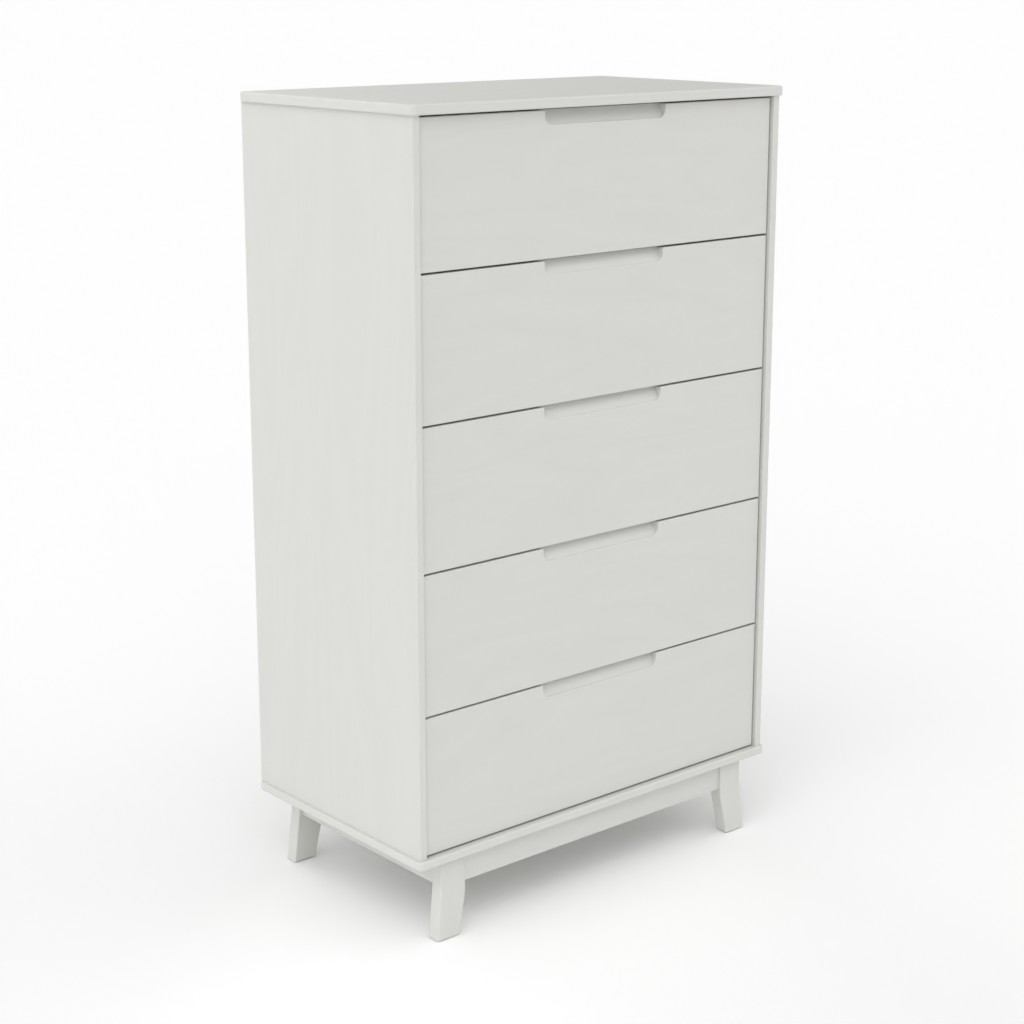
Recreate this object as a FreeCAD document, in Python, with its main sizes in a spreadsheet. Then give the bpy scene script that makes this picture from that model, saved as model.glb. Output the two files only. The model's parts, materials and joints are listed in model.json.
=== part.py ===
"""Tall chest of five drawers: a panel carcass on four splayed legs, with a finger notch in each front.

Millimetres, +Z up, the drawers face -Y. The origin is on the floor, under the middle of the chest.
Every object is sized by expressions on the cells of the sheet "dims".
"""
import FreeCAD, Part
import os
import Sketcher

os.makedirs("parts", exist_ok=True)

DIMS = {
    # carcass
    "total_height": 1220,
    "body_width": 718,
    "body_depth": 410,
    "slab_overhang": 5.5,
    "slab_corner": 9,
    "slab_ease": 2.5,
    "top_thick": 15,
    "base_thick": 13,
    "side_thick": 12,
    "side_ease": 1,
    "back_thick": 5,
    "back_inset": 18,
    "back_groove": 5,
    "rail_thick": 16,
    "rail_deep": 60,
    "rail_lift": 1,
    "rail_setback": 2.5,
    # legs and the frame between them
    "leg_rise": 125.5,
    "leg_width": 45,
    "leg_depth": 22,
    "leg_outset": 316.5,
    "leg_front_inset": 12,
    "leg_rear_inset": 20.5,
    "leg_outer_kink": 88,
    "leg_inner_kink": 65,
    "leg_bend": 90,
    "leg_ease": 2,
    "foot_width": 40.5,
    "foot_depth": 23,
    "foot_outset": 326,
    "foot_splay": 4,
    "glide_rise": 2,
    "glide_radius": 9,
    "glide_pin": 1.5,
    "glide_pin_length": 12,
    "apron_height": 46,
    "apron_thick": 18,
    "apron_recess": 4,
    "apron_side_recess": 6,
    "apron_ease": 1.5,
    "block_leg": 50,
    "block_height": 40,
    # drawers
    "front_inset": 5.5,
    "front_gap": 3,
    "front_thick": 22,
    "front_ease": 1.5,
    "notch_width": 236,
    "notch_depth": 20,
    "notch_corner": 12,
    "notch_lip": 2,
    "notch_shallow": 3,
    "notch_deep": 15,
    "box_lift": 22,
    "box_front_thick": 15,
    "box_front_drop": 3.5,
    "box_side_height": 150,
    "box_thick": 12,
    "box_length": 345,
    "box_ease": 1.5,
    "floor_thick": 6,
    "floor_lift": 10,
    "floor_groove": 6,
    # telescopic slides
    "slide_length": 350,
    "slide_width": 12.7,
    "slide_setback": 1,
    "slide_lift": 75,
    "slide_steel": 1.2,
    "outer_height": 35,
    "outer_width": 9,
    "middle_height": 27,
    "middle_start": 3.4,
    "middle_end": 10.6,
    "inner_height": 19,
    "inner_start": 6,
    "cage_height": 2.2,
    "cage_width": 4,
    "cage_length": 120,
    "cage_gap": 0.3,
    # fasteners
    "fit": 0.1,
    "dowel_radius": 3,
    "dowel_long": 20,
    "dowel_short": 9,
    "slide_screw": 1.7,
    "slide_screw_head": 3.4,
    "slide_screw_cap": 1.4,
    "slide_screw_length": 9,
    "block_screw": 2.2,
    "block_screw_head": 4.4,
    "block_screw_cap": 3,
    "block_screw_length": 48,
    # anti-tip bracket
    "bracket_width": 60,
    "bracket_shelf": 16,
    "bracket_seat": 9.6,
    "bracket_drop": 36,
    "bracket_steel": 2,
    "bracket_hole": 2.75,
    "bracket_spacing": 32,
    "bracket_hole_drop": 22,
    "bracket_bend": 2,
    "bracket_corner": 6,
}

DRAWERS = 5
PITCH = (f"((dims.total_height - dims.top_thick - dims.leg_rise - dims.base_thick"
         f" - dims.front_gap) / {DRAWERS})")
BASE_TOP = "(dims.leg_rise + dims.base_thick)"
TOP_UNDER = "(dims.total_height - dims.top_thick)"
HALF_BODY = "(dims.body_width / 2)"
HALF_OPENING = "(dims.body_width / 2 - dims.side_thick)"
HALF_BOX = f"({HALF_OPENING} - dims.slide_width)"
SLAB_FRONT = "(-(dims.body_depth + dims.slab_overhang) / 2)"
BACK_EDGE = "((dims.body_depth + dims.slab_overhang) / 2)"
SIDE_FRONT = f"({SLAB_FRONT} + dims.slab_overhang)"
DRAWER_FACE = f"({SIDE_FRONT} + dims.front_inset)"
BEHIND_FRONT = f"({DRAWER_FACE} + dims.front_thick)"
BACK_PANEL_Y = f"({BACK_EDGE} - dims.back_inset - dims.back_thick)"
LEG_FRONT = f"({SLAB_FRONT} + dims.leg_front_inset)"
LEG_REAR = f"({BACK_EDGE} - dims.leg_rear_inset)"
LEG_MIRROR_Y = f"(({LEG_FRONT} + {LEG_REAR}) / 2)"
BLOCK_X = "(dims.leg_outset - dims.apron_side_recess - dims.apron_thick)"
BLOCK_FRONT_Y = f"({LEG_FRONT} + dims.leg_depth)"
BLOCK_REAR_Y = f"({LEG_REAR} - dims.leg_depth)"

# where the fasteners stand, as shares of the length of the piece they hold
DOWEL_SHARES_SIDE = (0.08, 0.36, 0.64, 0.90)
DOWEL_SHARES_RAIL = (0.25, 0.75)
SCREW_SHARES_SLIDE = (0.12, 0.5, 0.88)
BLOCK_SCREW_SHARE = 0.27

UP = FreeCAD.Vector(0, 0, 1)
DOWN = FreeCAD.Vector(0, 0, -1)
RIGHT = FreeCAD.Vector(1, 0, 0)
LEFT = FreeCAD.Vector(-1, 0, 0)
BACKWARD = FreeCAD.Vector(0, 1, 0)
TOLERANCE = 1e-4

doc = FreeCAD.newDocument("tall_chest_of_drawers")
sheet = doc.addObject("Spreadsheet::Sheet", "dims")
for row, (alias, number) in enumerate(DIMS.items(), 1):
    sheet.set(f"A{row}", alias)
    sheet.set(f"B{row}", str(number))
    sheet.setAlias(f"B{row}", alias)
doc.recompute()

nodes = []


# ---------- helpers ----------

def value(expression):
    """The number that an expression on the sheet gives now."""
    return float(sheet.evalExpression(expression))


def bind(item, **expressions):
    for name, expression in expressions.items():
        item.setExpression(name, expression)


def place(item, x="0", y="0", z="0"):
    for axis, expression in (("x", x), ("y", y), ("z", z)):
        item.setExpression(f"Placement.Base.{axis}", expression)


def board(name, size, at):
    """A box of the given X, Y and Z sizes, with its low corner at the given point."""
    box = doc.addObject("Part::Box", name)
    bind(box, Length=size[0], Width=size[1], Height=size[2])
    place(box, *at)
    return box


def rod(name, radius, length, at, direction=UP):
    """A cylinder that starts at a point and runs along a direction."""
    cylinder = doc.addObject("Part::Cylinder", name)
    bind(cylinder, Radius=radius, Height=length)
    cylinder.Placement = FreeCAD.Placement(FreeCAD.Vector(), FreeCAD.Rotation(UP, direction))
    place(cylinder, *at)
    return cylinder


def group(name, pieces):
    """Several separate solids that share one node."""
    compound = doc.addObject("Part::Compound", name)
    compound.Links = pieces
    return compound


def fuse(name, pieces):
    joined = doc.addObject("Part::MultiFuse", name)
    joined.Shapes = pieces
    joined.Refine = True
    return joined


def cut(name, base, tool):
    result = doc.addObject("Part::Cut", name)
    result.Base = base
    result.Tool = tool
    return result


def mirror(name, source, normal, across_y="0"):
    copy = doc.addObject("Part::Mirroring", name)
    copy.Source = source
    copy.Normal = normal
    copy.setExpression("Base.y", across_y)
    return copy


def edge_numbers(shape, test):
    return [number for number, edge in enumerate(shape.Edges, 1) if test(edge.BoundBox)]


def ease(name, base, radius, test):
    """Round the edges of a plain solid whose bounds pass the test."""
    doc.recompute()
    rounded = doc.addObject("Part::Fillet", name)
    rounded.Base = base
    size = value(radius)
    rounded.Edges = [(number, size, size) for number in edge_numbers(base.Shape, test)]
    return rounded


def round_body(body, name, radius, test):
    """Round the edges of a body's last feature whose bounds pass the test."""
    doc.recompute()
    feature = body.Tip
    numbers = edge_numbers(feature.Shape, test)
    fillet = body.newObject("PartDesign::Fillet", name)
    fillet.Base = (feature, [f"Edge{number}" for number in numbers])
    bind(fillet, Radius=radius)
    return fillet


def draw_polygon(sketch, corners):
    """Lines through the corners, each corner held by two expressions."""
    points = [FreeCAD.Vector(value(x), value(y), 0) for x, y in corners]
    for index, point in enumerate(points):
        following = points[(index + 1) % len(points)]
        sketch.addGeometry(Part.LineSegment(point, following))
    for index, point in enumerate(points):
        following = (index + 1) % len(points)
        sketch.addConstraint(Sketcher.Constraint("Coincident", index, 2, following, 1))
    for index, (x, y) in enumerate(corners):
        across = sketch.addConstraint(
            Sketcher.Constraint("DistanceX", -1, 1, index, 1, points[index].x))
        upward = sketch.addConstraint(
            Sketcher.Constraint("DistanceY", -1, 1, index, 1, points[index].y))
        sketch.setExpression(f"Constraints[{across}]", x)
        sketch.setExpression(f"Constraints[{upward}]", y)


def padded_body(name, plane, corners, length):
    """A body with one polygon, drawn on one of its origin planes and padded up or backward."""
    body = doc.addObject("PartDesign::Body", name)
    sketch = body.newObject("Sketcher::SketchObject", f"{name}_outline")
    support = next(f for f in body.Origin.OriginFeatures if f.Role == plane)
    sketch.AttachmentSupport = [(support, "")]
    sketch.MapMode = "FlatFace"
    draw_polygon(sketch, corners)
    pad = body.newObject("PartDesign::Pad", f"{name}_pad")
    pad.Profile = sketch
    pad.Reversed = plane == "XZ_Plane"
    bind(pad, Length=length)
    return body


def is_vertical(bounds):
    return bounds.XLength < TOLERANCE and bounds.YLength < TOLERANCE


def is_level(bounds):
    return bounds.ZLength < TOLERANCE


def publish(item, node):
    """Name a finished sub-part after its file."""
    item.Label = node
    nodes.append(item)
    return item


# ---------- fasteners and the holes they need ----------

def front_bottom(number):
    """Height of the bottom edge of a drawer front, counted from the top one."""
    return f"({BASE_TOP} + dims.front_gap + {DRAWERS - number} * {PITCH})"


def shift(point, direction, distance):
    """A point moved by an expression along one of the unit directions."""
    return tuple(f"{coordinate} + {step:g} * ({distance})" for coordinate, step in zip(point, direction))


def screw(name, seat, direction, head, cap, shank, length):
    """A screw whose head stands behind its seat and whose shank runs ahead of it."""
    top = rod(f"{name}_head", head, cap, shift(seat, direction, f"-({cap})"), direction)
    stem = rod(f"{name}_shank", shank, length, seat, direction)
    return fuse(name, [top, stem])


def dowel_joints():
    """Each dowel's point on the joint face, and the way to its short end."""
    middle = f"({HALF_BODY} - dims.side_thick / 2)"
    for sign in ("-", ""):
        for share in DOWEL_SHARES_SIDE:
            y = f"{SIDE_FRONT} + {share} * dims.body_depth"
            yield (f"{sign}{middle}", y, TOP_UNDER), UP
            yield (f"{sign}{middle}", y, BASE_TOP), DOWN
    for number in range(1, DRAWERS):
        z = f"{front_bottom(number)} + dims.rail_lift + dims.rail_thick / 2"
        for share in DOWEL_SHARES_RAIL:
            y = f"{BEHIND_FRONT} + dims.rail_setback + {share} * dims.rail_deep"
            yield (f"-{HALF_OPENING}", y, z), LEFT
            yield (HALF_OPENING, y, z), RIGHT


def make_dowels():
    dowels = []
    holes = []
    whole = "dims.dowel_long + dims.dowel_short"
    for index, (joint, direction) in enumerate(dowel_joints(), 1):
        start = shift(joint, direction, "-dims.dowel_long")
        slim = "dims.dowel_radius - dims.fit"
        dowels.append(rod(f"dowel_{index}", slim, whole, start, direction))
        holes.append(rod(f"dowel_hole_{index}", "dims.dowel_radius", whole, start, direction))
    publish(group("dowel_set", dowels), "dowels")
    return group("dowel_holes", holes)


def make_carcass_screws():
    """Screws of the slides, the corner blocks and the bracket, and the holes drilled for them."""
    screws = []
    holes = []
    for number in range(1, DRAWERS + 1):
        z = f"{front_bottom(number)} + dims.slide_lift"
        for share in SCREW_SHARES_SLIDE:
            y = f"{BEHIND_FRONT} + {share} * dims.slide_length"
            for side, direction in (("-", LEFT), ("", RIGHT)):
                wall = (f"{side}{HALF_OPENING}", y, z)
                seat = shift(wall, direction, "-dims.slide_steel")
                length = "dims.slide_steel + dims.slide_screw_length"
                index = len(screws) + 1
                screws.append(screw(f"screw_{index}", seat, direction, "dims.slide_screw_head",
                                    "dims.slide_screw_cap", "dims.slide_screw", length))
                wide = "dims.slide_screw + dims.fit"
                holes.append(rod(f"screw_hole_{index}", wide, length, seat, direction))
    block_bottom = "dims.leg_rise - dims.block_height"
    for x_sign in ("-", ""):
        x = f"{x_sign}({BLOCK_X} - {BLOCK_SCREW_SHARE} * dims.block_leg)"
        for corner_y, y_sign in ((BLOCK_FRONT_Y, "+"), (BLOCK_REAR_Y, "-")):
            y = f"{corner_y} {y_sign} {BLOCK_SCREW_SHARE} * dims.block_leg"
            seat = (x, y, f"{block_bottom} + dims.block_screw_cap")
            shank_length = "dims.block_screw_length - dims.block_screw_cap"
            index = len(screws) + 1
            screws.append(screw(f"screw_{index}", seat, UP, "dims.block_screw_head - dims.fit",
                                "dims.block_screw_cap", "dims.block_screw", shank_length))
            holes.append(rod(f"screw_hole_{index}", "dims.block_screw + dims.fit", shank_length, seat))
            holes.append(rod(f"screw_bore_{index}", "dims.block_screw_head", "dims.block_screw_cap",
                             (x, y, block_bottom)))
    for sign in ("-", ""):
        seat = (f"{sign}dims.bracket_spacing / 2", f"{BACK_EDGE} - dims.bracket_seat",
                f"{TOP_UNDER} - dims.bracket_steel")
        length = "dims.bracket_steel + dims.slide_screw_length"
        index = len(screws) + 1
        screws.append(screw(f"screw_{index}", seat, UP, "dims.slide_screw_head",
                            "dims.slide_screw_cap", "dims.slide_screw", length))
        holes.append(rod(f"screw_hole_{index}", "dims.slide_screw + dims.fit", length, seat))
    publish(group("screw_set", screws), "carcass_screws")
    return group("screw_holes", holes)


# ---------- carcass ----------

def make_slab(node, thickness, bottom, drillings):
    """A horizontal panel that stands out past the sides and the front, with soft edges."""
    half = f"({HALF_BODY} + dims.slab_overhang)"
    outline = [(f"-{half}", SLAB_FRONT), (half, SLAB_FRONT), (half, BACK_EDGE), (f"-{half}", BACK_EDGE)]
    body = padded_body(f"{node}_body", "XY_Plane", outline, thickness)
    round_body(body, f"{node}_corners", "dims.slab_corner", is_vertical)
    round_body(body, f"{node}_edges", "dims.slab_ease", is_level)
    place(body, z=bottom)
    publish(cut(f"{node}_drilled", body, drillings), node)


def make_side(node, left_x, groove, drillings):
    blank = board(f"{node}_blank", ("dims.side_thick", "dims.body_depth", f"{TOP_UNDER} - {BASE_TOP}"),
                  (left_x, SIDE_FRONT, BASE_TOP))
    front = value(SIDE_FRONT)
    eased = ease(f"{node}_eased", blank, "dims.side_ease",
                 lambda b: is_vertical(b) and abs(b.YMin - front) < TOLERANCE)
    grooved = cut(f"{node}_grooved", eased, groove)
    publish(cut(f"{node}_drilled", grooved, drillings), node)


def make_back():
    """A thin panel slid into a groove in each side."""
    half = f"({HALF_OPENING} + dims.back_groove)"
    size = (f"2 * {half}", "dims.back_thick", f"{TOP_UNDER} - {BASE_TOP}")
    return publish(board("back_sheet", size, (f"-{half}", BACK_PANEL_Y, BASE_TOP)), "back_panel")


def make_rails(drillings):
    """One rail behind the bottom of each front but the last, tying the two sides together."""
    rails = []
    for number in range(1, DRAWERS):
        size = (f"2 * {HALF_OPENING}", "dims.rail_deep", "dims.rail_thick")
        at = (f"-{HALF_OPENING}", f"{BEHIND_FRONT} + dims.rail_setback",
              f"{front_bottom(number)} + dims.rail_lift")
        rails.append(cut(f"rail_{number}", board(f"rail_{number}_blank", size, at), drillings))
    publish(group("rail_set", rails), "cross_rails")


def make_bracket(drillings):
    """A steel angle under the back of the top, with two holes for wall screws."""
    x = "-dims.bracket_width / 2"
    shelf = board("bracket_shelf_plate", ("dims.bracket_width", "dims.bracket_shelf", "dims.bracket_steel"),
                  (x, f"{BACK_EDGE} - dims.bracket_shelf", f"{TOP_UNDER} - dims.bracket_steel"))
    drop = board("bracket_drop_plate", ("dims.bracket_width", "dims.bracket_steel", "dims.bracket_drop"),
                 (x, f"{BACK_EDGE} - dims.bracket_steel", f"{TOP_UNDER} - dims.bracket_drop"))
    z = f"{TOP_UNDER} - dims.bracket_hole_drop"
    plate_face = f"{BACK_EDGE} - dims.bracket_steel"
    holes = [rod(f"wall_hole_{name}", "dims.bracket_hole", "dims.bracket_steel",
                 (f"{sign}dims.bracket_spacing / 2", plate_face, z), BACKWARD)
             for name, sign in (("left", "-"), ("right", ""))]
    bend = (value(BACK_EDGE), value(TOP_UNDER))
    foot = value(f"{TOP_UNDER} - dims.bracket_drop")
    bent = ease("bracket_bent", fuse("bracket_plates", [shelf, drop]), "dims.bracket_bend",
                lambda b: (abs(b.YMin - bend[0]) < TOLERANCE and abs(b.ZMin - bend[1]) < TOLERANCE))
    rounded = ease("bracket_rounded", bent, "dims.bracket_corner",
                   lambda b: b.XLength < TOLERANCE and abs(b.ZMax - foot) < TOLERANCE)
    angle = cut("bracket_pierced", rounded, group("wall_holes", holes))
    publish(cut("bracket_drilled", angle, drillings), "anti_tip_bracket")


# ---------- legs, aprons and corner blocks ----------

def four_corners(front_left, names):
    """The piece made for the front left corner, and its three mirrored copies."""
    front_right = mirror(f"{names}_front_right", front_left, RIGHT)
    rear_left = mirror(f"{names}_rear_left", front_left, BACKWARD, LEG_MIRROR_Y)
    rear_right = mirror(f"{names}_rear_right", rear_left, RIGHT)
    return [front_left, front_right, rear_left, rear_right]


def make_legs():
    """Straight at the top, splayed outward below a soft bend, and leaning a little forward."""
    top = "dims.leg_rise"
    foot = "dims.glide_rise"
    outer = "-dims.leg_outset"
    inner = "-dims.leg_outset + dims.leg_width"
    face = [(outer, top), (outer, "dims.leg_outer_kink"), ("-dims.foot_outset", foot),
            ("-dims.foot_outset + dims.foot_width", foot), (inner, "dims.leg_inner_kink"), (inner, top)]
    rear = "dims.leg_depth"
    forward = "-dims.foot_splay"
    flank = [("0", top), (forward, foot), (f"{forward} + dims.foot_depth", foot), (rear, top)]
    seen_from_front = padded_body("leg_face", "XZ_Plane", face, "dims.leg_depth + 2 * dims.foot_splay")
    foot_height = value(foot)
    top_height = value(top)

    def is_kink(bounds):
        return is_level(bounds) and foot_height + TOLERANCE < bounds.ZMin < top_height - TOLERANCE

    round_body(seen_from_front, "leg_face_bends", "dims.leg_bend", is_kink)
    place(seen_from_front, y=f"{LEG_FRONT} - dims.foot_splay")
    seen_from_side = padded_body("leg_flank", "YZ_Plane", flank, "dims.foot_outset")
    place(seen_from_side, x="-dims.foot_outset", y=LEG_FRONT)
    sawn = doc.addObject("Part::Common", "leg_sawn")
    sawn.Base = seen_from_front
    sawn.Tool = seen_from_side
    eased = ease("leg_eased", sawn, "dims.leg_ease", lambda b: not is_level(b))
    x = "-dims.foot_outset + dims.foot_width / 2"
    y = f"{LEG_FRONT} - dims.foot_splay + dims.foot_depth / 2"
    pin_hole = rod("glide_hole", "dims.glide_pin + dims.fit", "dims.glide_pin_length", (x, y, foot))
    legs = four_corners(cut("leg_front_left_drilled", eased, pin_hole), "leg")
    for leg, node in zip(legs, ("leg_front_left", "leg_front_right", "leg_rear_left", "leg_rear_right")):
        publish(leg, node)
    pad = rod("glide_pad", "dims.glide_radius", foot, (x, y, "0"))
    pin = rod("glide_stem", "dims.glide_pin", "dims.glide_pin_length", (x, y, foot))
    glides = four_corners(fuse("glide", [pad, pin]), "glide")
    publish(group("glide_set", glides), "foot_glides")


def make_aprons():
    """Four rails under the base, each set back from the faces of the legs."""
    low = "dims.leg_rise - dims.apron_height"
    across = "2 * (dims.leg_outset - dims.leg_width)"
    size = (across, "dims.apron_thick", "dims.apron_height")
    left = "-(dims.leg_outset - dims.leg_width)"
    front_y = f"{LEG_FRONT} + dims.apron_recess"
    rear_y = f"{LEG_REAR} - dims.apron_recess - dims.apron_thick"
    side_x = "dims.leg_outset - dims.apron_side_recess"
    side_size = ("dims.apron_thick", f"{BLOCK_REAR_Y} - {BLOCK_FRONT_Y}", "dims.apron_height")
    aprons = {
        "apron_front": (size, (left, front_y, low), lambda b, box: abs(b.YMax - box.YMin) < TOLERANCE),
        "apron_rear": (size, (left, rear_y, low), lambda b, box: abs(b.YMin - box.YMax) < TOLERANCE),
        "apron_left": (side_size, (f"-({side_x})", BLOCK_FRONT_Y, low),
                       lambda b, box: abs(b.XMax - box.XMin) < TOLERANCE),
        "apron_right": (side_size, (f"{side_x} - dims.apron_thick", BLOCK_FRONT_Y, low),
                        lambda b, box: abs(b.XMin - box.XMax) < TOLERANCE),
    }
    for node, (extent, at, on_outside) in aprons.items():
        blank = board(f"{node}_blank", extent, at)
        doc.recompute()
        box = blank.Shape.BoundBox

        def is_lower_outside(bounds):
            return is_level(bounds) and abs(bounds.ZMin - box.ZMin) < TOLERANCE and on_outside(bounds, box)

        publish(ease(f"{node}_eased", blank, "dims.apron_ease", is_lower_outside), node)


def make_corner_blocks(drillings):
    """Triangular blocks glued behind the legs and screwed up into the base."""
    corner = [(f"-{BLOCK_X}", BLOCK_FRONT_Y), (f"-{BLOCK_X} + dims.block_leg", BLOCK_FRONT_Y),
              (f"-{BLOCK_X}", f"{BLOCK_FRONT_Y} + dims.block_leg")]
    block = padded_body("block", "XY_Plane", corner, "dims.block_height")
    place(block, z="dims.leg_rise - dims.block_height")
    blocks = four_corners(block, "block")
    drilled = [cut(f"block_drilled_{index}", piece, drillings) for index, piece in enumerate(blocks, 1)]
    publish(group("block_set", drilled), "corner_blocks")


# ---------- telescopic slides ----------

def channel(name, start, end, web_at, height, y, z):
    """A C-shaped steel member on the right: start and end are measured from the side panel's face."""
    far = f"{HALF_OPENING} - ({end})"
    half = f"({height}) / 2"
    deep = f"({end}) - ({start})"
    web_x = f"{HALF_OPENING} - ({web_at})"
    web_size = ("dims.slide_steel", "dims.slide_length", height)
    web = board(f"{name}_web", web_size, (web_x, y, f"{z} - {half}"))
    flange = (deep, "dims.slide_length", "dims.slide_steel")
    lower = board(f"{name}_lower", flange, (far, y, f"{z} - {half}"))
    upper = board(f"{name}_upper", flange, (far, y, f"{z} + {half} - dims.slide_steel"))
    return fuse(name, [web, lower, upper])


def ball_cages(name, y, z):
    """The four strips of balls that run above and below the middle member's flanges."""
    start_y = f"{y} + (dims.slide_length - dims.cage_length) / 2"
    size = ("dims.cage_width", "dims.cage_length", "dims.cage_height")
    outer_x = f"{HALF_OPENING} - dims.middle_start - dims.slide_steel - dims.cage_width"
    inner_x = f"{HALF_OPENING} - dims.inner_start - dims.cage_gap - dims.cage_width"
    outside = "dims.middle_height / 2"
    inside = "(dims.middle_height / 2 - dims.slide_steel)"
    places = {
        "outer_upper": (outer_x, f"{z} + {outside}"),
        "outer_lower": (outer_x, f"{z} - {outside} - dims.cage_height"),
        "inner_upper": (inner_x, f"{z} + {inside} - dims.cage_height"),
        "inner_lower": (inner_x, f"{z} - {inside}"),
    }
    return [board(f"{name}_{where}", size, (x, start_y, height)) for where, (x, height) in places.items()]


def make_slides(drillings):
    """Three members a side: one on the carcass, one that runs between, one on the drawer."""
    cabinet_members = []
    y = f"{BEHIND_FRONT} + dims.slide_setback"
    for number in range(1, DRAWERS + 1):
        z = f"{front_bottom(number)} + dims.slide_lift"
        outer = channel(f"outer_{number}", "0", "dims.outer_width", "dims.slide_steel",
                        "dims.outer_height", y, z)
        cabinet_members += [outer, mirror(f"outer_{number}_left", outer, RIGHT)]
        middle = channel(f"middle_{number}", "dims.middle_start", "dims.middle_end",
                         "dims.middle_start + dims.slide_steel", "dims.middle_height", y, z)
        right_stage = [middle] + ball_cages(f"cage_{number}", y, z)
        left_stage = [mirror(f"{piece.Name}_left", piece, RIGHT) for piece in right_stage]
        publish(group(f"stage_{number}", right_stage + left_stage), f"slide_stage_{number}")
        inner = channel(f"inner_{number}", "dims.inner_start", "dims.slide_width", "dims.slide_width",
                        "dims.inner_height", y, z)
        pair = [inner, mirror(f"inner_{number}_left", inner, RIGHT)]
        publish(group(f"inner_pair_{number}", pair), f"drawer_{number}_slide_members")
    whole = group("outer_set", cabinet_members)
    publish(cut("outer_drilled", whole, drillings), "cabinet_slide_members")


# ---------- drawers ----------

def make_front(number):
    """A thick front whose top edge has a scooped finger notch, deeper toward the top."""
    half = f"({HALF_OPENING} - dims.front_gap)"
    height = f"({PITCH} - dims.front_gap)"
    notch = "(dims.notch_width / 2)"
    sill = f"({height} - dims.notch_depth)"
    outline = [(f"-{half}", "0"), (half, "0"), (half, height), (notch, height), (notch, sill),
               (f"-{notch}", sill), (f"-{notch}", height), (f"-{half}", height)]
    body = padded_body(f"front_{number}", "XZ_Plane", outline, "dims.front_thick")
    edge = value(notch)
    sill_height = value(sill)

    def across_notch(bounds, level):
        return (bounds.XLength < TOLERANCE and is_level(bounds) and abs(abs(bounds.XMin) - edge) < TOLERANCE
                and abs(bounds.ZMin - level) < TOLERANCE)

    round_body(body, f"front_{number}_notch", "dims.notch_corner", lambda b: across_notch(b, sill_height))
    round_body(body, f"front_{number}_lip", "dims.notch_lip", lambda b: across_notch(b, value(height)))
    round_body(body, f"front_{number}_edges", "dims.front_ease", lambda b: b.YMax < TOLERANCE)
    place(body, y=DRAWER_FACE, z=front_bottom(number))
    foot = f"({sill} - dims.notch_lip)"
    profile = [("dims.notch_shallow", foot), ("dims.front_thick", foot), ("dims.front_thick", height),
               ("dims.notch_deep", height), ("dims.notch_shallow", sill)]
    reach = "(dims.notch_width / 2 + 2 * dims.notch_lip)"
    scoop = padded_body(f"front_{number}_scoop", "YZ_Plane", profile, f"2 * {reach}")
    place(scoop, f"-{reach}", DRAWER_FACE, front_bottom(number))
    publish(fuse(f"front_{number}_scooped", [body, scoop]), f"drawer_{number}_front")


def make_box(number):
    """The box behind a front: its own front board, two sides, a back and a floor let into grooves."""
    name = f"drawer_{number}"
    low = f"{front_bottom(number)} + dims.box_lift"
    inside = f"({HALF_BOX} - dims.box_thick)"
    side_start = f"({BEHIND_FRONT} + dims.box_front_thick)"
    back_start = f"({BEHIND_FRONT} + dims.box_length - dims.box_thick)"
    floor_size = (f"2 * ({inside} + dims.floor_groove)",
                  f"{back_start} - {side_start} + 2 * dims.floor_groove", "dims.floor_thick")
    floor_at = (f"-({inside} + dims.floor_groove)", f"{side_start} - dims.floor_groove",
                f"{low} + dims.floor_lift")
    floor = publish(board(f"{name}_floor", floor_size, floor_at), f"{name}_bottom")
    tall = f"{PITCH} - dims.front_gap - dims.box_front_drop - dims.box_lift"
    side_size = ("dims.box_thick", "dims.box_length - dims.box_front_thick", "dims.box_side_height")
    front_size = (f"2 * {HALF_BOX}", "dims.box_front_thick", tall)
    back_size = (f"2 * {inside}", "dims.box_thick", "dims.box_side_height")
    boards = {
        "box_front": (front_size, (f"-{HALF_BOX}", BEHIND_FRONT, low)),
        "side_left": (side_size, (f"-{HALF_BOX}", side_start, low)),
        "side_right": (side_size, (inside, side_start, low)),
        "back": (back_size, (f"-{inside}", back_start, low)),
    }
    for part, (size, at) in boards.items():
        blank = board(f"{name}_{part}_blank", size, at)
        top = value(at[2]) + value(size[2])
        eased = ease(f"{name}_{part}_eased", blank, "dims.box_ease", lambda b: abs(b.ZMin - top) < TOLERANCE)
        publish(cut(f"{name}_{part}_grooved", eased, floor), f"{name}_{part}")


# ---------- assembly ----------

def make_all():
    drillings = group("drillings", [make_dowels(), make_carcass_screws()])
    make_slab("top_panel", "dims.top_thick", TOP_UNDER, drillings)
    make_slab("base_panel", "dims.base_thick", "dims.leg_rise", drillings)
    back = make_back()
    make_side("side_panel_left", f"-{HALF_BODY}", back, drillings)
    make_side("side_panel_right", HALF_OPENING, back, drillings)
    make_rails(drillings)
    make_bracket(drillings)
    make_legs()
    make_aprons()
    make_corner_blocks(drillings)
    make_slides(drillings)
    for number in range(1, DRAWERS + 1):
        make_front(number)
        make_box(number)


def check_document():
    """Stop on any failed object, and on any sub-part that isn't a valid shape."""
    doc.recompute()
    for item in doc.Objects:
        if "Invalid" in item.State or "Error" in item.State:
            raise RuntimeError(f"{item.Name} failed: {item.State}")
    for item in nodes:
        if item.Shape.isNull() or not item.Shape.isValid():
            raise RuntimeError(f"{item.Label} has no valid shape")


make_all()
check_document()
for item in nodes:
    item.Shape.exportStep(f"parts/{item.Label}.step")
print(len(nodes), "sub-parts written")
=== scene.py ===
"""Looks for the tall chest of drawers: painted wood, birch drawer boxes, steel slides, studio light, camera.

Metres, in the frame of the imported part: +Z up, the drawers face -Y and slide out along -Y.
"""
import json
import math

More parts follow.
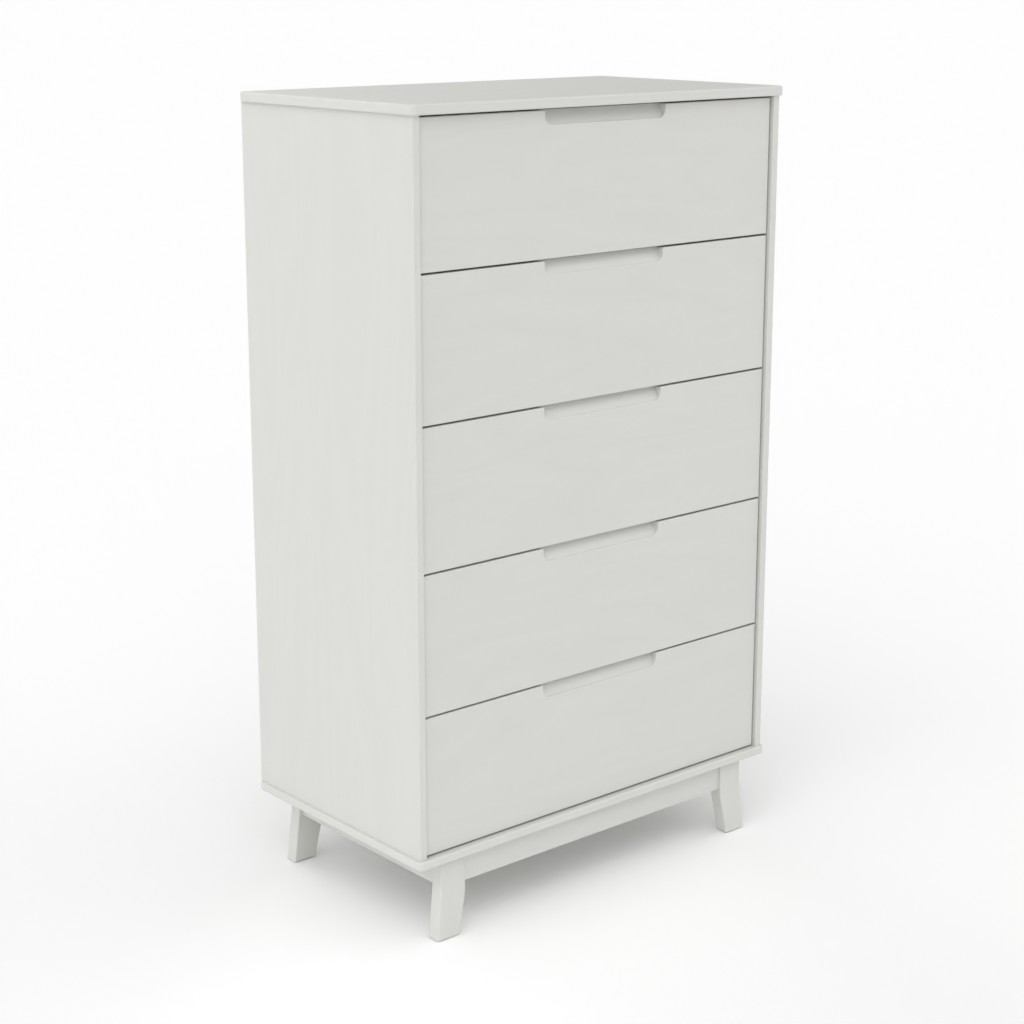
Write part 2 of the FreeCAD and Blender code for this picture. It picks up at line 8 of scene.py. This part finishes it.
import bmesh
import bpy
from mathutils import Euler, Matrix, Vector


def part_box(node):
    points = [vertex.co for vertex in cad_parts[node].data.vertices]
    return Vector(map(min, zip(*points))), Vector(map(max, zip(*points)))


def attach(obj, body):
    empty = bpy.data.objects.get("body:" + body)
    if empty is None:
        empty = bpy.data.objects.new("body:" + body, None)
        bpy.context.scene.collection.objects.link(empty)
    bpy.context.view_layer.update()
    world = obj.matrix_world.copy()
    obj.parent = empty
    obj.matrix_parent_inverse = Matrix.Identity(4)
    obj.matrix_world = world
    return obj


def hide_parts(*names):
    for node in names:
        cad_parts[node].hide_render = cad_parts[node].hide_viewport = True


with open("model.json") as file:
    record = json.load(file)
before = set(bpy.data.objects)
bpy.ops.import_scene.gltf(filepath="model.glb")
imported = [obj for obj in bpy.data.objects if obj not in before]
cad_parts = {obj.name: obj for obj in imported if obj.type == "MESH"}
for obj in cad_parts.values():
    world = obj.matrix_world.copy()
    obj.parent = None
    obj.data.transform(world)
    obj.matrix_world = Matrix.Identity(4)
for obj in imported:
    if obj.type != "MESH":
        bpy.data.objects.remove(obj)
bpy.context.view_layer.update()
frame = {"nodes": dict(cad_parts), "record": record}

NODES = frame["nodes"]
SLOTS = {item["node"]: item["material_slot"] for item in frame["record"]["subparts"]}

# ---------- camera, light and floor ----------

CAMERA_AT = (-2.057, -2.390, 1.389)
CAMERA_YAW = 40.55
CAMERA_PITCH = 13.58
CAMERA_LENS = 72.5
CAMERA_SHIFT = -0.04
CAMERA_SENSOR = 36
CAMERA_FAR = 2000

# The studio's soft lights. Pale walls glow low down and softboxes hang high up; each has its turn from the front
# toward the left, in degrees, and its strength.
WALL_RISE = 12
WALL_SHARPNESS = 8
WALL_GLOWS = {"front_left": (45, 0.6), "rear_left": (135, 0.6), "rear": (180, 2.8), "right": (-90, 1.4)}
BOX_RISE = 45
BOX_SHARPNESS = 6
SOFTBOXES = {"key": (45, 1.7), "left_fill": (90, 1.2), "right_fill": (-45, 1.3)}

FLOOR_HALF = 400.0
FLOOR_WHITE = 0.96
WALL = (1.0, 1.0, 1.0)


class Nodes:
    """A short way to write a node tree."""

    def __init__(self, tree):
        self.tree = tree

    def add(self, kind, inputs=None, **settings):
        node = self.tree.nodes.new(kind)
        for name, value in settings.items():
            setattr(node, name, value)
        for name, value in (inputs or {}).items():
            if isinstance(value, bpy.types.NodeSocket):
                self.tree.links.new(value, node.inputs[name])
            else:
                node.inputs[name].default_value = value
        return node

    def math(self, operation, first, second=0.0):
        return self.add("ShaderNodeMath", {0: first, 1: second}, operation=operation).outputs[0]

    def total(self, terms):
        """The sum of (socket, weight) pairs."""
        result = 0.0
        for socket, weight in terms:
            node = self.add("ShaderNodeMath", {0: socket, 1: weight, 2: result}, operation="MULTIPLY_ADD")
            result = node.outputs[0]
        return result

    def remap(self, socket, low, high, to_low=0.0, to_high=1.0):
        node = self.add("ShaderNodeMapRange", {"Value": socket, "From Min": low, "From Max": high,
                                               "To Min": to_low, "To Max": to_high})
        return node.outputs[0]

    def noise(self, space, scale, detail=2.0, distortion=0.0):
        placed = self.add("ShaderNodeMapping", {"Vector": space, "Scale": scale}).outputs[0]
        return self.add("ShaderNodeTexNoise", {"Vector": placed, "Scale": 1.0, "Detail": detail,
                                               "Distortion": distortion}).outputs[0]

    def blend(self, factor, first, second):
        """A colour between two colours."""
        node = self.add("ShaderNodeValToRGB", {"Fac": factor})
        node.color_ramp.elements[0].color = (*first, 1)
        node.color_ramp.elements[1].color = (*second, 1)
        return node.outputs[0]


def add_camera():
    data = bpy.data.cameras.new("camera")
    data.lens = CAMERA_LENS
    data.sensor_width = CAMERA_SENSOR
    data.shift_y = CAMERA_SHIFT
    data.clip_end = CAMERA_FAR
    camera = bpy.data.objects.new("camera", data)
    camera.location = CAMERA_AT
    tilt = math.radians(90 - CAMERA_PITCH)
    camera.rotation_euler = Euler((tilt, 0, -math.radians(CAMERA_YAW)), "XYZ")
    bpy.context.scene.collection.objects.link(camera)
    bpy.context.scene.camera = camera


def add_studio():
    """Light from all round, as the sum of a few wide soft glows, in front of a plain pale wall."""
    world = bpy.data.worlds.new("studio")
    bpy.context.scene.world = world
    world.use_nodes = True
    world.node_tree.nodes.clear()
    sky = Nodes(world.node_tree)
    toward = sky.add("ShaderNodeTexCoord").outputs["Generated"]
    walls = [(turn, WALL_RISE, WALL_SHARPNESS, strength) for turn, strength in WALL_GLOWS.values()]
    boxes = [(turn, BOX_RISE, BOX_SHARPNESS, strength) for turn, strength in SOFTBOXES.values()]
    glows = []
    for turn, rise, sharpness, strength in walls + boxes:
        turn, rise = math.radians(turn), math.radians(rise)
        axis = (-math.sin(turn) * math.cos(rise), -math.cos(turn) * math.cos(rise), math.sin(rise))
        dot = sky.add("ShaderNodeVectorMath", {0: toward, 1: axis}, operation="DOT_PRODUCT")
        facing = sky.math("MAXIMUM", dot.outputs["Value"], 0.0)
        glows.append((sky.math("POWER", facing, sharpness), strength))
    light = sky.add("ShaderNodeBackground", {"Color": (1, 1, 1, 1), "Strength": sky.total(glows)})
    wall = sky.add("ShaderNodeBackground", {"Color": (*WALL, 1), "Strength": 1.0})
    seen = sky.add("ShaderNodeLightPath").outputs["Is Camera Ray"]
    mixed = sky.add("ShaderNodeMixShader", {0: seen, 1: light.outputs[0], 2: wall.outputs[0]})
    output = sky.add("ShaderNodeOutputWorld")
    world.node_tree.links.new(mixed.outputs[0], output.inputs[0])


def add_floor():
    mesh = bpy.data.meshes.new("floor")
    h = FLOOR_HALF
    mesh.from_pydata([(-h, -h, 0), (h, -h, 0), (h, h, 0), (-h, h, 0)], [], [(0, 1, 2, 3)])
    floor = bpy.data.objects.new("floor", mesh)
    bpy.context.scene.collection.objects.link(floor)
    material = bpy.data.materials.new("floor")
    material.use_nodes = True
    shader = material.node_tree.nodes["Principled BSDF"]
    shader.inputs["Base Color"].default_value = (FLOOR_WHITE, FLOOR_WHITE, FLOOR_WHITE, 1)
    shader.inputs["Roughness"].default_value = 1
    shader.inputs["Specular IOR Level"].default_value = 0
    mesh.materials.append(material)


# ---------- materials ----------

# Each wood: its colour between growth lines and on them, the share of fibre in its tone, how many lines its slow
# figure makes, its mean roughness, and how deep its grain is in metres.
WOODS = {
    "painted_wood": {"light": (0.668, 0.670, 0.642), "dark": (0.648, 0.650, 0.622),
                     "fibre": 0.45, "lines": 9, "rough": 0.44, "deep": 0.00008},
    "back_board": {"light": (0.655, 0.656, 0.630), "dark": (0.640, 0.641, 0.614),
                   "fibre": 0.80, "lines": 5, "rough": 0.55, "deep": 0.00006},
    "bare_wood": {"light": (0.640, 0.480, 0.290), "dark": (0.480, 0.310, 0.150),
                  "fibre": 0.35, "lines": 16, "rough": 0.60, "deep": 0.00020},
    "box_wood": {"light": (0.640, 0.500, 0.335), "dark": (0.540, 0.395, 0.235),
                 "fibre": 0.50, "lines": 12, "rough": 0.42, "deep": 0.00010},
    "box_floor": {"light": (0.660, 0.530, 0.365), "dark": (0.560, 0.425, 0.265),
                  "fibre": 0.55, "lines": 15, "rough": 0.50, "deep": 0.00012},
    "dowel_wood": {"light": (0.600, 0.430, 0.260), "dark": (0.480, 0.320, 0.170),
                   "fibre": 0.60, "lines": 12, "rough": 0.55, "deep": 0.00015},
}
STEELS = {
    "zinc_steel": {"light": (0.60, 0.61, 0.63), "dark": (0.48, 0.49, 0.51), "rough": 0.34},
    "screw_steel": {"light": (0.56, 0.56, 0.58), "dark": (0.42, 0.42, 0.44), "rough": 0.28},
}
NYLON = {"light": (0.60, 0.60, 0.57), "dark": (0.54, 0.54, 0.51)}
ROUGH_SPREAD = 0.05
STEEL_GRAIN_DEEP = 0.00002
NYLON_GRAIN_DEEP = 0.00003
FIGURE_SCALE = (1.3, 7.5, 7.5)
FIBRE_SCALE = (16, 420, 420)
PORE_SCALE = (70, 1500, 1500)
TURNED = {"x": "XYZ", "y": "YZX", "z": "ZXY"}


def new_material(name, metallic=0.0):
    material = bpy.data.materials.new(name)
    material.use_nodes = True
    shader = material.node_tree.nodes["Principled BSDF"]
    shader.inputs["Metallic"].default_value = metallic
    return material, Nodes(material.node_tree), shader


def grain_space(nodes, along):
    """Places in metres, turned so that the grain runs along the first axis."""
    place = nodes.add("ShaderNodeTexCoord").outputs["Object"]
    parts = nodes.add("ShaderNodeSeparateXYZ", {0: place}).outputs
    turned = {axis: parts[source] for axis, source in zip("XYZ", TURNED[along])}
    return nodes.add("ShaderNodeCombineXYZ", turned).outputs[0]


def finish_surface(nodes, shader, colour, roughness, height, depth):
    links = nodes.tree.links
    bump = nodes.add("ShaderNodeBump", {"Strength": 1.0, "Distance": depth, "Height": height})
    links.new(colour, shader.inputs["Base Color"])
    links.new(roughness, shader.inputs["Roughness"])
    links.new(bump.outputs[0], shader.inputs["Normal"])


def wood(name, along):
    """Growth lines from a slow figure, with fibres and short pores along the grain."""
    kind = WOODS[name]
    material, nodes, shader = new_material(f"{name}_{along}")
    space = grain_space(nodes, along)
    figure = nodes.noise(space, FIGURE_SCALE, 2.0, 0.4)
    line = nodes.remap(nodes.math("PINGPONG", nodes.math("MULTIPLY", figure, kind["lines"]), 0.5), 0.0, 0.5)
    fibre = nodes.noise(space, FIBRE_SCALE, 3.0)
    pore = nodes.remap(nodes.noise(space, PORE_SCALE, 1.0), 0.58, 0.75)
    tone = nodes.total([(line, 1 - kind["fibre"]), (fibre, kind["fibre"]), (pore, 0.25)])
    height = nodes.total([(line, -0.35), (fibre, 0.5), (pore, -0.6)])
    roughness = nodes.remap(fibre, 0.3, 0.7, kind["rough"] - ROUGH_SPREAD, kind["rough"] + ROUGH_SPREAD)
    colour = nodes.blend(tone, kind["light"], kind["dark"])
    finish_surface(nodes, shader, colour, roughness, height, kind["deep"])
    return material


def steel(name, along):
    """Rolled zinc-plated steel: fine lines along the piece over faint crystals."""
    kind = STEELS[name]
    material, nodes, shader = new_material(f"{name}_{along}", 1.0)
    space = grain_space(nodes, along)
    brushed = nodes.noise(space, (10, 1400, 1400), 3.0)
    cell = nodes.add("ShaderNodeTexVoronoi", {"Vector": space, "Scale": 260.0})
    spangle = nodes.add("ShaderNodeSeparateColor", {0: cell.outputs["Color"]}).outputs[0]
    smudge = nodes.noise(space, (18, 30, 30), 3.0)
    tone = nodes.total([(brushed, 0.4), (spangle, 0.25), (smudge, 0.35)])
    roughness = nodes.total([(smudge, 0.16), (spangle, 0.05), (brushed, 0.06), (1.0, kind["rough"] - 0.13)])
    height = nodes.total([(brushed, 1.0), (smudge, 0.4)])
    colour = nodes.blend(tone, kind["light"], kind["dark"])
    finish_surface(nodes, shader, colour, roughness, height, STEEL_GRAIN_DEEP)
    return material


def nylon(name):
    """Moulded nylon with a fine spark-eroded texture."""
    material, nodes, shader = new_material(name)
    place = nodes.add("ShaderNodeTexCoord").outputs["Object"]
    texture = nodes.noise(place, (1800, 1800, 1800), 2.0)
    cloud = nodes.noise(place, (60, 60, 60), 2.0)
    colour = nodes.blend(cloud, NYLON["light"], NYLON["dark"])
    roughness = nodes.remap(texture, 0.3, 0.7, 0.45, 0.6)
    finish_surface(nodes, shader, colour, roughness, texture, NYLON_GRAIN_DEEP)
    return material


def grain_of(node):
    if node.startswith(("side_panel", "leg_", "back_panel", "dowels")):
        return "z"
    if node in ("apron_left", "apron_right") or "_side_" in node or "slide" in node:
        return "y"
    return "x"


made_materials = {}


def material_for(slot, along):
    key = (slot, along)
    if key not in made_materials:
        if slot in WOODS:
            made_materials[key] = wood(slot, along)
        elif slot in STEELS:
            made_materials[key] = steel(slot, along)
        else:
            made_materials[key] = nylon(slot)
    return made_materials[key]


def finish_nodes():
    for name, node in NODES.items():
        node.material_slots[0].material = material_for(SLOTS[name], grain_of(name))


# ---------- slides, screws and glides ----------

DRAWERS = 5
SIDES = (-1, 1)
STEEL = 0.0012
BEND = 0.0018
OUTER_DEEP = 0.009
OUTER_HIGH = 0.035
MIDDLE_DEEP = 0.0072
MIDDLE_HIGH = 0.027
LIP_SHARE = 0.35
CAGE_LENGTH = 0.120
CAGE_WIDTH = 0.004
CAGE_STEEL = 0.0005
BALL = 0.0011
BALL_PITCH = 0.008
OUTER_BALLS = 0.0066
INNER_BALLS = 0.0083
SCREW_SHARES = (0.12, 0.5, 0.88)
SCREW_TIP = 0.009
SCREW_TAPER = 0.0075
HEAD = 0.0034
HEAD_TOP = 0.0014
CROSS_HALF = 0.00045
CROSS_REACH = 0.0021
CROSS_DEEP = 0.0009
FRONT_SCREW_IN = 0.08
FRONT_SCREW_HEIGHTS = (0.2, 0.8)
GLIDE = 0.009
GLIDE_THICK = 0.002
GLIDE_PIN = 0.0015
MERGE = 1e-6
SHARP_ANGLE = 40


class Shape:
    """The points and faces of one piece, gathered from several closed forms."""

    def __init__(self):
        self.points = []
        self.faces = []

    def add(self, points, faces):
        first = len(self.points)
        self.points += [tuple(point) for point in points]
        self.faces += [tuple(first + index for index in face) for face in faces]

    def sweep(self, outline, start, end, mirrored):
        """A closed outline in X and Z, drawn for the right side, run along Y."""
        size = len(outline)
        sign = -1 if mirrored else 1
        points = [(sign * x, y, z) for y in (start, end) for x, z in outline]
        around = [(k, (k + 1) % size, size + (k + 1) % size, size + k) for k in range(size)]
        caps = [tuple(range(size))[::-1], tuple(range(size, 2 * size))]
        faces = around + caps
        self.add(points, [face[::-1] for face in faces] if mirrored else faces)

    def lathe(self, profile, at, axis, around=16, sink=None):
        """A turned form: (radius, height) pairs from its foot to its top, both on the axis."""
        axis = Vector(axis)
        across = axis.orthogonal().normalized()
        other = axis.cross(across)
        points = []
        for radius, height in profile:
            for step in range(around):
                turn = 2 * math.pi * step / around
                u, v = radius * math.cos(turn), radius * math.sin(turn)
                drop = sink(u, v) if sink and height > 0 else 0
                points.append(Vector(at) + across * u + other * v + axis * (height - drop))
        faces = []
        for ring in range(len(profile) - 1):
            for step in range(around):
                following = (step + 1) % around
                faces.append((ring * around + step, ring * around + following,
                              (ring + 1) * around + following, (ring + 1) * around + step))
        self.add(points, faces)

    def make(self, name, slot, along, body, *stands_for):
        mesh = bpy.data.meshes.new(name)
        mesh.from_pydata(self.points, [], self.faces)
        form = bmesh.new()
        form.from_mesh(mesh)
        bmesh.ops.remove_doubles(form, verts=form.verts, dist=MERGE)
        bmesh.ops.recalc_face_normals(form, faces=form.faces)
        form.to_mesh(mesh)
        form.free()
        mesh.shade_smooth()
        mesh.set_sharp_from_angle(angle=math.radians(SHARP_ANGLE))
        mesh.materials.append(material_for(slot, along))
        piece = bpy.data.objects.new(name, mesh)
        bpy.context.scene.collection.objects.link(piece)
        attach(piece, body)
        if stands_for:
            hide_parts(*stands_for)
        return piece


def ribbon(path, thickness):
    """The closed outline of a strip bent along a path."""
    left, right = [], []
    for index, (x, z) in enumerate(path):
        before, after = path[max(index - 1, 0)], path[min(index + 1, len(path) - 1)]
        dx, dz = after[0] - before[0], after[1] - before[1]
        size = math.hypot(dx, dz) * 2 / thickness
        left.append((x - dz / size, z + dx / size))
        right.append((x + dz / size, z - dx / size))
    return left + right[::-1]


def channel(web, tip, high, middle):
    """A rolled C section between the outer face of its web and the tips of its flanges."""
    sign = 1 if tip > web else -1
    web += sign * STEEL / 2
    half = (high - STEEL) / 2
    upper = [(tip, half - STEEL * LIP_SHARE), (tip - sign * BEND * 0.5, half - STEEL * 0.1),
             (tip - sign * BEND, half)]
    for step in range(7):
        turn = math.radians(90 + 15 * step)
        upper.append((web + sign * BEND * (1 + math.cos(turn)), half - BEND * (1 - math.sin(turn))))
    lower = [(x, -z) for x, z in reversed(upper)]
    return [(x, middle + z) for x, z in ribbon(upper + lower, STEEL)]


def ball_row(shape, x, z, y_middle, mirrored):
    """A retainer strip with a row of steel balls standing through it."""
    half = CAGE_LENGTH / 2
    wide = CAGE_WIDTH / 2
    strip = [(x - wide, z + CAGE_STEEL), (x - wide, z - CAGE_STEEL), (x - wide + CAGE_STEEL, z),
             (x + wide - CAGE_STEEL, z), (x + wide, z - CAGE_STEEL), (x + wide, z + CAGE_STEEL)]
    shape.sweep(strip, y_middle - half, y_middle + half, mirrored)
    count = int(CAGE_LENGTH / BALL_PITCH) - 1
    profile = [(BALL * math.sin(math.pi * k / 6), -BALL * math.cos(math.pi * k / 6)) for k in range(7)]
    for k in range(count):
        y = y_middle + (k - (count - 1) / 2) * BALL_PITCH
        shape.lathe(profile, ((-x if mirrored else x), y, z), (0, 0, 1), 10)


def cross_recess(u, v):
    """How deep the cross-shaped socket is at a place on a screw's head."""
    near, far = sorted((abs(u), abs(v)))
    return CROSS_DEEP if near < CROSS_HALF and far < CROSS_REACH else 0


def add_screw(shape, at, axis):
    """A pan-head wood screw with a cross recess; the axis points out of the head."""
    rim = [(0, -SCREW_TIP), (HEAD * 0.48, -SCREW_TAPER), (HEAD * 0.48, 0), (HEAD, 0), (HEAD, HEAD_TOP * 0.35),
           (HEAD * 0.95, HEAD_TOP * 0.7), (HEAD * 0.84, HEAD_TOP * 0.93)]
    crown = [(HEAD * (0.72 - 0.08 * k), HEAD_TOP) for k in range(9)] + [(0, HEAD_TOP)]
    shape.lathe(rim + crown, at, axis, 40, cross_recess)


def add_slides():
    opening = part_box("cabinet_slide_members")[1].x
    outer = Shape()
    for number in range(1, DRAWERS + 1):
        low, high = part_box(f"drawer_{number}_slide_members")
        stage_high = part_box(f"slide_stage_{number}")[1]
        box_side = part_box(f"drawer_{number}_side_right")[1].x
        level = (low.z + high.z) / 2
        y_middle = (low.y + high.y) / 2
        middle, inner, screws = Shape(), Shape(), Shape()
        web = box_side + STEEL
        ball_gap = MIDDLE_HIGH / 2 + BALL
        for side in SIDES:
            mirrored = side < 0
            outer.sweep(channel(opening, opening - OUTER_DEEP, OUTER_HIGH, level), low.y, high.y, mirrored)
            middle.sweep(channel(stage_high.x, stage_high.x - MIDDLE_DEEP, MIDDLE_HIGH, level),
                         low.y, high.y, mirrored)
            inner.sweep(channel(box_side, high.x, high.z - low.z, level), low.y, high.y, mirrored)
            for up in SIDES:
                ball_row(middle, opening - OUTER_BALLS, level + up * ball_gap, y_middle, mirrored)
                ball_row(middle, opening - INNER_BALLS, level + up * (ball_gap - STEEL - 2 * BALL),
                         y_middle, mirrored)
            for share in SCREW_SHARES:
                y = low.y + share * (high.y - low.y)
                add_screw(screws, (side * web, y, level), (side, 0, 0))
        add_front_screws(screws, number)
        middle.make(f"slide_runner_{number}", "zinc_steel", "y", f"slide_stage_{number}",
                    f"slide_stage_{number}")
        inner.make(f"drawer_{number}_slide_channels", "zinc_steel", "y", f"drawer_{number}",
                   f"drawer_{number}_slide_members")
        screws.make(f"drawer_{number}_screws", "screw_steel", "x", f"drawer_{number}")
    outer.make("cabinet_slide_channels", "zinc_steel", "y", "carcass", "cabinet_slide_members")


def add_front_screws(shape, number):
    """Four screws that hold the front from inside the box."""
    low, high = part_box(f"drawer_{number}_box_front")
    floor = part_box(f"drawer_{number}_bottom")[1].z
    for side in SIDES:
        for share in FRONT_SCREW_HEIGHTS:
            z = floor + share * (high.z - floor)
            add_screw(shape, (side * (high.x - FRONT_SCREW_IN), high.y, z), (0, 1, 0))


def add_glides():
    """Nylon glides with a rounded rim and a pin, one under each leg."""
    low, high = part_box("foot_glides")
    profile = [(0, 0), (GLIDE * 0.8, 0), (GLIDE * 0.93, GLIDE_THICK * 0.15), (GLIDE, GLIDE_THICK * 0.5),
               (GLIDE * 0.98, GLIDE_THICK), (GLIDE_PIN, GLIDE_THICK), (GLIDE_PIN, high.z - 0.0005), (0, high.z)]
    shape = Shape()
    for x in (low.x + GLIDE, high.x - GLIDE):
        for y in (low.y + GLIDE, high.y - GLIDE):
            shape.lathe(profile, (x, y, 0), (0, 0, 1), 32)
    shape.make("nylon_glides", "glide_plastic", "x", "carcass", "foot_glides")


add_camera()
add_studio()
add_floor()
finish_nodes()
add_slides()
add_glides()
bpy.context.scene.view_settings.view_transform = "Standard"
